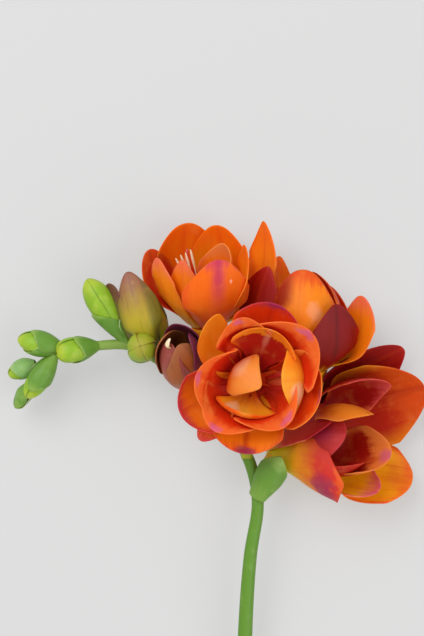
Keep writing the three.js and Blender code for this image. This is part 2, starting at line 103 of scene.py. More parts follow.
# Skins. root is the claw's colour, body the blade's, tip its end, edge its rim and line
# the stripe down its middle. rootTo, tipFrom and lineFrom are shares of the length, lineWidth
# and edgeFrom are measured from the middle, where 0.5 is the rim. across is how closely the
# veins lie. A spot is a colour, its place across and along, its half width and length, and
# its strength.
skinHabit = {"rootTo": 0.42, "tipFrom": 0.8, "tipSoft": 0.16, "lineStrength": 0.4, "lineWidth": 0.08,
             "lineFrom": 0.15, "edgeFrom": 0.38, "edgeStrength": 0.8, "veins": 0.4,
             "veinColour": "#d2502c", "across": 26, "pale": "#f0a050", "patches": 0.2, "roughness": 0.5,
             "gloss": 0.3, "scatter": 0.5, "spots": []}
skins = {
    "orange": {"root": "#eda80c", "body": "#f28006", "tip": "#ee6c08", "edge": "#ec7a24",
               "line": "#e0520a"},
    "orangePink": {"root": "#eeaa0c", "body": "#ee7c08", "tip": "#e0664a", "edge": "#e87424",
                   "line": "#e4641c", "tipFrom": 0.86},
    "dome": {"root": "#f0a00c", "body": "#ee7e0a", "tip": "#d84a0c", "edge": "#e0560c", "line": "#e8740e",
             "tipFrom": 0.88, "tipSoft": 0.1, "veins": 0.7,
             # The first spot is a painted highlight. The second, dark red, is painted where the dome opens:
             # partly the inner petals' own red, partly painted shade of the opening.
             "spots": [("#f2ac8c", 0.68, 0.66, 0.12, 0.1, 0.35),
                       ("#8c1008", 0.16, 0.84, 0.24, 0.2, 0.95)]},
    "cheek": {"root": "#900e08", "body": "#a81c1c", "tip": "#b83034", "edge": "#c8482c",
              "line": "#8c1020", "patches": 0.0, "spots": [("#8e2048", 0.5, 0.7, 0.2, 0.2, 0.5)]},
    "strap": {"root": "#c84208", "body": "#e87a08", "tip": "#ee8612", "edge": "#e4620c",
              "line": "#ec8c18", "rootTo": 0.5},
    "crown": {"root": "#b01c04", "body": "#d83c06", "tip": "#9c2a48", "edge": "#e0581a",
              "line": "#b8240c", "tipFrom": 0.9, "rootTo": 0.75, "veins": 0.7,
              "spots": [("#8e2c5c", 0.46, 0.99, 0.16, 0.07, 0.9)]},
    "leftLip": {"root": "#e06a08", "body": "#e47212", "tip": "#b02a3c", "edge": "#cc3c3c",
                "line": "#c04818", "tipFrom": 0.84, "edgeFrom": 0.3, "veins": 0.8,
                "veinColour": "#a82808"},
    "veined": {"root": "#e8800a", "body": "#ea7604", "tip": "#c8441c", "edge": "#dc5018",
               "line": "#a81c04", "tipFrom": 0.88, "lineStrength": 0.6, "veins": 1.0,
               "veinColour": "#a01804", "spots": [("#7c1c48", 0.5, 0.98, 0.17, 0.09, 0.9)]},
    "rightLip": {"root": "#b42404", "body": "#d84406", "tip": "#ec7420", "edge": "#ee7a26",
                 "line": "#c43408", "tipFrom": 0.8, "rootTo": 0.7,
                 "spots": [("#a83a68", 0.46, 0.93, 0.13, 0.08, 0.85)]},
    "bowl": {"root": "#a81404", "body": "#cc2c04", "tip": "#ea6a28", "edge": "#ec7434", "line": "#c42c08",
             "tipFrom": 0.74, "tipSoft": 0.16, "rootTo": 0.6, "veins": 0.6, "edgeFrom": 0.4,
             "spots": [("#c8608c", 0.55, 0.95, 0.13, 0.06, 0.75)]},
    # The lip's sharp bright tip band is painted light on its lit crescent. Its dark red body is partly its
    # own colour and partly painted shade. Its pale pink line is a painted highlight.
    "lip": {"root": "#98100a", "body": "#a81406", "tip": "#ee7c14", "edge": "#ee7414", "line": "#f0a080",
            "tipFrom": 0.66, "tipSoft": 0.05, "rootTo": 0.4, "lineStrength": 0.4, "lineWidth": 0.06},
    "hood": {"root": "#c83a04", "body": "#ec6a08", "tip": "#f49a24", "edge": "#f6a032", "line": "#f08420",
             "tipFrom": 0.55, "rootTo": 0.5, "edgeFrom": 0.3,
             # The second spot, darker orange on the far side, is painted shadow cast by the bowl's rim.
             "spots": [("#f6b494", 0.3, 0.8, 0.16, 0.14, 0.8), ("#e85a08", 0.85, 0.6, 0.3, 0.5, 0.5)]},
    "heart": {"root": "#c83804", "body": "#e2600c", "tip": "#ec8a34", "edge": "#ee8c38",
              "line": "#ee8a3c", "tipFrom": 0.6, "rootTo": 0.5, "lineWidth": 0.2, "veins": 0.8,
              # Its pale pink spot is a painted highlight.
              "spots": [("#f6b48c", 0.4, 0.62, 0.26, 0.14, 0.6)]},
    "basin": {"root": "#c84c06", "body": "#ee8a12", "tip": "#ea5c06", "edge": "#e04a06",
              "line": "#f6b03c", "tipFrom": 0.8, "rootTo": 0.5, "lineStrength": 0.5, "lineWidth": 0.2,
              "spots": [("#f8b890", 0.3, 0.62, 0.13, 0.26, 0.8)]},
    "fold": {"root": "#d84a10", "body": "#ee7c10", "tip": "#ec8c48", "edge": "#e8763c",
             "line": "#ee8a24"},
    "magentaLine": {"root": "#dc5010", "body": "#ee6a08", "tip": "#c83c50", "edge": "#dc4c14",
                    "line": "#b02c5c", "tipFrom": 0.96, "tipSoft": 0.08, "lineStrength": 0.85,
                    "lineWidth": 0.16, "lineFrom": 0.4, "veins": 0.8, "veinColour": "#c83008",
                    "rootTo": 0.6, "edgeFrom": 0.32, "patches": 0.1,
                    # Its small pale spot is a painted glint.
                    "spots": [("#f2b4a0", 0.68, 0.8, 0.02, 0.05, 0.9)]},
    "darkRed": {"root": "#d08a0c", "body": "#7c0a04", "tip": "#740c10", "edge": "#a01c08",
                "line": "#500608", "tipFrom": 0.85, "lineStrength": 0.6, "rootTo": 0.3, "patches": 0.0,
                "veins": 0.9, "veinColour": "#5c0806", "spots": [("#8c0c20", 0.62, 0.78, 0.2, 0.2, 0.3)]},
    "ember": {"root": "#c03a06", "body": "#b82804", "tip": "#c84a0a", "edge": "#d86a14",
              "line": "#8c1404", "veins": 0.8},
    "emberGold": {"root": "#980f05", "body": "#a82006", "tip": "#c2480a", "edge": "#d88210",
                  "line": "#8c1404", "tipFrom": 0.72, "edgeFrom": 0.3, "veins": 0.8},
    "plum": {"root": "#6c0c08", "body": "#8a0e06", "tip": "#900f0c", "edge": "#701428", "line": "#a42c14",
             "tipFrom": 0.85, "patches": 0.0, "veins": 0.9, "veinColour": "#c03c10"},
    "gold": {"root": "#ffc808", "body": "#ffac04", "tip": "#e8681c", "edge": "#dc4c1c", "line": "#ea8a0c",
             "tipFrom": 0.82, "tipSoft": 0.2, "edgeFrom": 0.38, "veins": 1.1, "veinColour": "#dc5408",
             "across": 18},
    "goldPink": {"root": "#ffac08", "body": "#ffb80c", "tip": "#c8486c", "edge": "#dc5430",
                 "line": "#e88c10", "tipFrom": 0.84, "tipSoft": 0.2, "edgeFrom": 0.36, "veins": 0.8},
    "goldRed": {"root": "#ffd810", "body": "#f8980a", "tip": "#cc3024", "edge": "#d84a1c",
                "line": "#ec7410", "rootTo": 0.5, "tipFrom": 0.52, "tipSoft": 0.24, "lineStrength": 0.3,
                "veins": 1.1, "across": 12, "veinColour": "#c83c10",
                "spots": [("#8e1c50", 0.62, 0.76, 0.26, 0.14, 0.8), ("#e0641c", 0.5, 1.0, 0.3, 0.08, 0.8),
                          ("#ffd420", 0.4, 0.24, 0.5, 0.16, 0.8)]},
    "redCheek": {"root": "#f0a810", "body": "#b03026", "tip": "#9c1a24", "edge": "#e0785c",
                 "line": "#8e2044", "rootTo": 0.45, "edgeFrom": 0.47, "veins": 1.0, "lineWidth": 0.2},
    "deepCup": {"root": "#8c0c04", "body": "#a41408", "tip": "#ac1c14", "edge": "#c43a1c",
                "line": "#901004"},
    "pinkRim": {"root": "#900e04", "body": "#a01406", "tip": "#e07c34", "edge": "#dc7434",
                "line": "#b83a20", "tipFrom": 0.76, "tipSoft": 0.1,
                "spots": [("#c86078", 0.5, 0.95, 0.14, 0.08, 0.8)]},
    "topLip": {"root": "#8c1008", "body": "#b02c10", "tip": "#e07c18", "edge": "#e07c34",
               "line": "#c85018", "rootTo": 0.4, "tipFrom": 0.56, "tipSoft": 0.22, "veins": 0.9},
    "curled": {"root": "#7c0c06", "body": "#98100a", "tip": "#c44c48", "edge": "#d8603c",
               "line": "#a01c14", "tipFrom": 0.84, "edgeFrom": 0.42, "veins": 0.6},
}
print("skins listed:", len(skins))


# How a tissue's marks lie, as shares of the sheet's width and length where no unit is named
tissue = {
    "patchesPerMetre": 190.0,  # one soft patch is about 5 mm wide
    "veinStretch": 1.6,  # so that a vein runs most of the sheet's length
    "drift": 0.24, "streak": 0.5,  # how far patches and veins push a colour along the sheet
    "rootFrom": 0.02, "lineFade": 0.5, "rimFrom": 0.25, "rimTo": 0.6,
    "tipStreak": 0.4, "tipBow": -0.1, "lineDrift": 0.25, "rimDrift": 0.3,
    "veinFrom": 0.52, "veinTo": 0.74, "veinShare": 0.33, "paleFrom": 0.52, "paleTo": 0.8,
    "spotReach": 1.5,  # a spot has faded out at this, the square of the way from its middle
    "bump": 0.3, "bumpHeight": 0.25, "scatterDepth": 2.0,  # height and depth in millimetres
    "scatterTint": (1.0, 0.3, 0.08),  # red light travels furthest, so a thin petal glows warm
    "ior": 1.4,
}


def tissueMaterial(name, given):
    # Living tissue, grown: waxy cells over wet ones that scatter light, so its colour looks
    # deep and soft and its gloss is low, with fine veins from claw to tip
    skin = {**skinHabit, **given}
    material, tree = newMaterial(name)
    add, multiply = {"operation": "ADD"}, {"operation": "MULTIPLY"}
    multiplyAdd, smoothly = {"operation": "MULTIPLY_ADD"}, {"interpolation_type": "SMOOTHSTEP"}
    sheet = addNode(tree, "ShaderNodeUVMap", {"uv_map": "UVMap"})
    across, along = addNode(tree, "ShaderNodeSeparateXYZ", inputs={0: sheet}).outputs[:2]
    centred = addNode(tree, "ShaderNodeMath", {"operation": "SUBTRACT"}, {0: across, 1: 0.5})
    side = addNode(tree, "ShaderNodeMath", {"operation": "ABSOLUTE"}, {0: centred})
    place = addNode(tree, "ShaderNodeTexCoord").outputs["Object"]
    patches = addNode(tree, "ShaderNodeTexNoise", inputs={
        "Vector": place, "Scale": tissue["patchesPerMetre"], "Detail": 3.0, "Roughness": 0.6})
    stretched = addNode(tree, "ShaderNodeMapping", inputs={
        0: sheet, "Scale": (skin["across"], tissue["veinStretch"], 1.0)})
    veins = addNode(tree, "ShaderNodeTexNoise", inputs={
        "Vector": stretched, "Scale": 1.0, "Detail": 4.0, "Roughness": 0.65, "Distortion": 0.35})
    # Patches and veins push every border about, so that none is a straight line
    drift = addNode(tree, "ShaderNodeMath", multiplyAdd,
                    {0: patches, 1: tissue["drift"], 2: -tissue["drift"] / 2})
    streak = addNode(tree, "ShaderNodeMath", multiplyAdd,
                     {0: veins, 1: tissue["streak"], 2: -tissue["streak"] / 2})
    wander = addNode(tree, "ShaderNodeMath", add, {0: along, 1: drift})
    run = addNode(tree, "ShaderNodeMath", add, {0: wander, 1: streak})
    tipRun = addNode(tree, "ShaderNodeMath", multiplyAdd, {0: streak, 1: tissue["tipStreak"], 2: wander})
    tipRun = addNode(tree, "ShaderNodeMath", multiplyAdd, {0: side, 1: tissue["tipBow"], 2: tipRun})
    lineSide = addNode(tree, "ShaderNodeMath", multiplyAdd, {0: drift, 1: tissue["lineDrift"], 2: side})
    rimSide = addNode(tree, "ShaderNodeMath", multiplyAdd, {0: drift, 1: tissue["rimDrift"], 2: side})
    # Each layer has a colour, a strength, and what it follows: values with a ramp's two ends
    layers = [
        (skin["body"], 1.0, [(run, tissue["rootFrom"], skin["rootTo"])]),
        (skin["tip"], 1.0, [(tipRun, skin["tipFrom"] - skin["tipSoft"] / 2,
                             skin["tipFrom"] + skin["tipSoft"])]),
        (skin["line"], skin["lineStrength"], [(lineSide, skin["lineWidth"], 0.0),
                                              (along, skin["lineFrom"],
                                               skin["lineFrom"] + tissue["lineFade"])]),
        (skin["edge"], skin["edgeStrength"], [(rimSide, skin["edgeFrom"], 0.5),
                                              (along, tissue["rimFrom"], tissue["rimTo"])]),
    ]
    spotPlace = addNode(tree, "ShaderNodeCombineXYZ", inputs={0: across, 1: wander})
    for spotColour, spotU, spotV, wide, tall, strength in skin["spots"]:
        off = addNode(tree, "ShaderNodeVectorMath", {"operation": "SUBTRACT"},
                      {0: spotPlace, 1: (spotU, spotV, 0.0)})
        off = addNode(tree, "ShaderNodeVectorMath", {"operation": "DIVIDE"}, {0: off, 1: (wide, tall, 1.0)})
        far = addNode(tree, "ShaderNodeVectorMath", {"operation": "DOT_PRODUCT"}, {0: off, 1: off})
        layers.append((spotColour, strength, [(far.outputs["Value"], tissue["spotReach"], 0.0)]))
    layers += [
        (skin["veinColour"], tissue["veinShare"] * skin["veins"],
         [(veins, tissue["veinFrom"], tissue["veinTo"])]),
        (skin["pale"], skin["patches"], [(patches, tissue["paleFrom"], tissue["paleTo"])]),
    ]
    colour = linear(skin["root"])
    for tint, share, ramps in layers:
        for value, low, high in ramps:
            ramp = addNode(tree, "ShaderNodeMapRange", smoothly,
                           {"Value": value, "From Min": low, "From Max": high})
            share = addNode(tree, "ShaderNodeMath", multiply, {0: ramp, 1: share})
        colour = addNode(tree, "ShaderNodeMix", {"data_type": "RGBA"},
                         {0: share, 6: colour, 7: linear(tint)}).outputs[2]
    relief = addNode(tree, "ShaderNodeBump", inputs={
        "Height": veins, "Strength": tissue["bump"], "Distance": mm(tissue["bumpHeight"])})
    surface = addNode(tree, "ShaderNodeBsdfPrincipled", inputs={
        "Base Color": colour, "Normal": relief, "Roughness": skin["roughness"], "IOR": tissue["ior"],
        "Specular IOR Level": skin["gloss"], "Subsurface Weight": skin["scatter"],
        "Subsurface Radius": tissue["scatterTint"], "Subsurface Scale": mm(tissue["scatterDepth"])})
    addNode(tree, "ShaderNodeOutputMaterial", inputs={0: surface})
    return material


# Waxy skins of the stem, bracts, buds, tubes and stamens. They are firmer than a petal, so they
# let less light through and shine a little more. pale is the bloom of wax, edge the dry margin.
waxyHabit = {"lineStrength": 0.0, "edgeFrom": 0.44, "edgeStrength": 0.6, "veins": 0.7,
             "veinColour": "#4c6a1c", "patches": 0.45, "roughness": 0.42, "gloss": 0.4, "scatter": 0.12,
             "line": "#6c8a34"}
waxySkins = {
    "stemSkin": {"root": "#6c9440", "body": "#5c8828", "tip": "#84a048", "edge": "#6c9440",
                 "pale": "#7fa050", "across": 40, "edgeStrength": 0.0, "rootTo": 0.3, "tipFrom": 0.8},
    "bractSkin": {"root": "#74983c", "body": "#618c30", "tip": "#84a648", "edge": "#cfd2a4",
                  "pale": "#98b464", "across": 22, "edgeFrom": 0.46},
    "paleBractSkin": {"root": "#7aa258", "body": "#7ea65c", "tip": "#94b470", "edge": "#c4cea4",
                      "pale": "#a0be80", "across": 24},
    "greenBudSkin": {"root": "#6c9828", "body": "#86ac26", "tip": "#a8bc34", "edge": "#64882a",
                     "pale": "#c4d058", "across": 14, "veins": 0.9},
    "roundBudSkin": {"root": "#7c9c34", "body": "#94a828", "tip": "#a49a38", "edge": "#8c4c30",
                     "pale": "#b4bc48", "across": 14, "edgeFrom": 0.42, "edgeStrength": 0.8,
                     "tipFrom": 0.85},
    "stripedBudSkin": {"root": "#8ca418", "body": "#b09c26", "tip": "#8a5444", "edge": "#6c7428",
                       "pale": "#c4a048", "across": 11, "rootTo": 0.6, "tipFrom": 0.66, "tipSoft": 0.34,
                       "veins": 1.6, "veinColour": "#3c4c14", "edgeFrom": 0.24,
                       "spots": [("#5c5c20", 0.82, 0.5, 0.16, 0.5, 0.7)]},
    "dullBudSkin": {"root": "#6c7a24", "body": "#6c6430", "tip": "#6a3c34", "edge": "#504c28",
                    "pale": "#867440", "across": 20, "veins": 1.0},
    "openingBudSkin": {"root": "#a8a070", "body": "#a8502c", "tip": "#94443c", "edge": "#8c4454",
                       "pale": "#b87050", "across": 14, "veins": 1.2, "veinColour": "#602424",
                       "rootTo": 0.25, "tipFrom": 0.6},
    "openingBrownSkin": {"root": "#987c40", "body": "#ac602c", "tip": "#a06038", "edge": "#702c24",
                         "pale": "#c48450", "across": 14, "veins": 1.2, "veinColour": "#602424",
                         "rootTo": 0.25},
    "openingPurpleSkin": {"root": "#905030", "body": "#944438", "tip": "#783050", "edge": "#803850",
                          "pale": "#a86460", "across": 14, "veins": 1.2, "veinColour": "#4c1c34",
                          "rootTo": 0.25, "tipFrom": 0.7},
    "tubeSkin": {"root": "#94a020", "body": "#e4b010", "tip": "#ee9408", "edge": "#e09c10",
                 "pale": "#f2c430", "across": 22, "veinColour": "#c47c10", "edgeStrength": 0.0},
    "creamSkin": {"root": "#ecc888", "body": "#f0d8b0", "tip": "#f4e0c0", "edge": "#f0d8b0",
                  "pale": "#f8ecd4", "across": 6, "veins": 0.2, "veinColour": "#d8b078"},
    "stigmaSkin": {"root": "#a86418", "body": "#d89838", "tip": "#ecc06c", "edge": "#d89838",
                   "pale": "#f0cc84", "across": 6, "veins": 0.2, "veinColour": "#b07830"},
    # Near black: painted shade for the shaded inside of the opening bud, where its tepals part.
    "paintedShadeCoreSkin": {"root": "#1c0c08", "body": "#24100a", "tip": "#2c140c", "edge": "#1c0c08",
                     "pale": "#34180c", "across": 8},
}
tissues = {name: tissueMaterial("petal tissue " + name, skin) for name, skin in skins.items()}
for name, skin in waxySkins.items():
    tissues[name] = tissueMaterial("waxy tissue " + name, {**waxyHabit, **skin})
print("materials made:", len(tissues))


# Sheets and tubes

def shapedGrid(name, cells, place, closed=False):
    # A grid whose points are moved by place(u, v): u runs 0 to 1 across, v from root to tip
    bpy.ops.object.select_all(action="DESELECT")
    bpy.ops.mesh.primitive_grid_add(x_subdivisions=cells[0], y_subdivisions=cells[1], size=2)
    piece = bpy.context.object
    piece.name = name
    piece.data.name = name
    for vertex in piece.data.vertices:
        u, v = (vertex.co.x + 1) / 2, (vertex.co.y + 1) / 2
        vertex.co = place(u, v)
    if closed:
        bpy.ops.object.mode_set(mode="EDIT")
        bpy.ops.mesh.select_all(action="SELECT")
        bpy.ops.mesh.remove_doubles(threshold=mm(0.01))
        bpy.ops.object.mode_set(mode="OBJECT")
    return piece


def closeEnds(piece):
    # Fills the open ends of a tube and turns its faces outwards
    bpy.context.view_layer.objects.active = piece
    bpy.ops.object.mode_set(mode="EDIT")
    bpy.ops.mesh.select_all(action="DESELECT")
    bpy.ops.mesh.select_non_manifold()
    bpy.ops.mesh.fill_holes(sides=0)
    bpy.ops.mesh.select_all(action="SELECT")
    bpy.ops.mesh.normals_make_consistent(inside=False)
    bpy.ops.object.mode_set(mode="OBJECT")


def finishPiece(piece, node, skin, thickness=0.0):
    # Gives a sheet its thickness and a fine surface, and hangs it in the frame
    piece.data.materials.append(tissues[skin])
    if thickness:
        wall = piece.modifiers.new("Thickness", "SOLIDIFY")
        wall.thickness = mm(thickness)
        wall.offset = 0
    fine = piece.modifiers.new("Smooth", "SUBSURF")
    fine.levels = fine.render_levels = 1
    bpy.context.view_layer.objects.active = piece
    for modifier in list(piece.modifiers):
        bpy.ops.object.modifier_apply(modifier=modifier.name)
    bpy.ops.object.shade_smooth()
    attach(piece, "root")
    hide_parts(node)


# How every petal is drawn, in shares of its length and half width
petalCurve = {
    "widest": 0.62, "tipRound": 2.2,  # where it is widest, and how round it ends
    "clawWrap": 1.1,  # a claw never wraps more than the front of its tube
    "curlFrom": 0.65, "edgeBy": 0.5,  # where the tip's curl begins and the edge's is full
    "creaseWidth": 0.1, "creaseEnd": 1.05,
    "waveLean": 1.3,  # the ruffles of the two edges don't match
    "rest": 0.3,  # millimetres that a petal keeps above the surface it rests on
}


def outline(s, claw, tip, waist):
    # Share of the half width: narrow at the claw, then widest, then rounded to the tip
    widest = petalCurve["widest"]
    if s < widest:
        return blendBetween(claw, 1, math.sin(math.pi / 2 * clamp(s / widest)) ** waist)
    return blendBetween(1, tip, clamp((s - widest) / (1 - widest)) ** petalCurve["tipRound"])


def petalPlace(petal, bloomFrame):
    # The same bent and cupped sheet as the CAD petal, with curls, ruffles and a crease. Its
    # middle is a curve with three control points: start, knee and end, as (reach, rise).
    ring, lean = petal["ring"], math.radians(petal["lean"])
    start = (ring, petal["start"])
    end = (petal["reach"], petal["rise"])
    belly = petal["belly"] * math.dist(start, end)
    knee = (start[0] + belly * math.sin(lean), start[1] + belly * math.cos(lean))
    half = petal["width"] / 2
    claw = min(petal["claw"], petalCurve["clawWrap"] * ring / half)

    def place(u, v):
        u = 2 * u - 1
        back = max(0.0, v - petal["drop"] * abs(u) ** 2.5 * v ** 3)  # the tip's corners fall back
        out, up = [(1 - back) ** 2 * a + 2 * back * (1 - back) * b + back ** 2 * c
                   for a, b, c in zip(start, knee, end)]
        wayOut, wayUp = [(1 - back) * (b - a) + back * (c - b) for a, b, c in zip(start, knee, end)]
        size = math.hypot(wayOut, wayUp)
        facing = math.radians(petal["turn"]) + math.radians(petal["sway"]) * back ** 2
        radial = Vector((math.cos(facing), math.sin(facing), 0))
        across = Vector((-radial.y, radial.x, 0))
        inward = -wayUp / size * radial + Vector((0, 0, wayOut / size))
        twist = math.radians(petal["twist"]) * back
        across, inward = (math.cos(twist) * across + math.sin(twist) * inward,
                          math.cos(twist) * inward - math.sin(twist) * across)
        bend = 1 / blendBetween(1 / ring, 1 / petal["cup"], clamp(back / petal["hollowBy"]))
        angle = u * half * outline(back, claw, petal["tip"], petal["waist"]) / bend
        lift = petal["curl"] * clamp((back - petalCurve["curlFrom"]) / (1 - petalCurve["curlFrom"])) ** 2
        lift += petal["edge"] * abs(u) ** 3 * clamp(back / petalCurve["edgeBy"])
        ruffle = math.sin(petal["waves"] * math.pi * v + petal["phase"] + petalCurve["waveLean"] * u)
        lift += petal["wave"] * ruffle * abs(u) ** 2 * v
        groove = math.exp(-(u / petalCurve["creaseWidth"]) ** 2)
        lift -= petal["crease"] * groove * math.sin(math.pi * min(1, v * petalCurve["creaseEnd"]))
        point = radial * out + Vector((0, 0, up)) + across * (bend * math.sin(angle))
        point += inward * (bend * (1 - math.cos(angle)) + lift)
        point = bloomFrame @ (point / 1000)
        point.z = max(point.z, surfaceZ + mm(petalCurve["rest"]))
        return point

    return place


def mouthOf(node):
    # The middle and facing of a tube's mouth, which is its largest flat face
    faces = {}
    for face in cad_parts[node].data.polygons:
        key = tuple(round(c, 1) for c in face.normal)
        area, centre, normal = faces.get(key, (0, Vector(), Vector()))
        faces[key] = (area + face.area, centre + face.center * face.area, normal + face.normal * face.area)
    area, centre, normal = max(faces.values(), key=lambda f: f[0])
    return centre / area, normal.normalized()


def standFrame(seat, facing):
    turned = Vector((0, 0, 1)).rotation_difference(facing)
    return Matrix.Translation(seat) @ turned.to_matrix().to_4x4()


# The four open blooms. Each petal stands at turn degrees round the bloom's axis; its
# tip is reach from the axis and rise above the tube's mouth, in millimetres.
tubeMouth = 5.6
petalCells = (12, 18)
petalThickness = 0.4
phaseStep = 1.7  # so that no two petals are ruffled alike
slim = {"waist": 2.2, "hollowBy": 0.25}  # for the petals that crowd the front bloom's heart
whorls = {
    "outer": {"ring": 0.92 * tubeMouth, "lean": 72, "belly": 0.5, "cup": 16, "claw": 0.6, "tip": 0.6},
    "cup": {"ring": 0.66 * tubeMouth, "lean": 70, "belly": 0.66, "cup": 14, "claw": 0.5, "tip": 0.7},
    "inner": {"ring": 0.36 * tubeMouth, "lean": 40, "belly": 0.5, "cup": 9, "claw": 0.5, "tip": 0.6},
}
petalHabit = {"start": 0.1, "waist": 1.3, "hollowBy": 0.45, "drop": 0.26, "sway": 0, "twist": 0,
              "curl": 0.0, "edge": 0.0, "wave": 0.45, "waves": 3.0, "crease": 0.2}
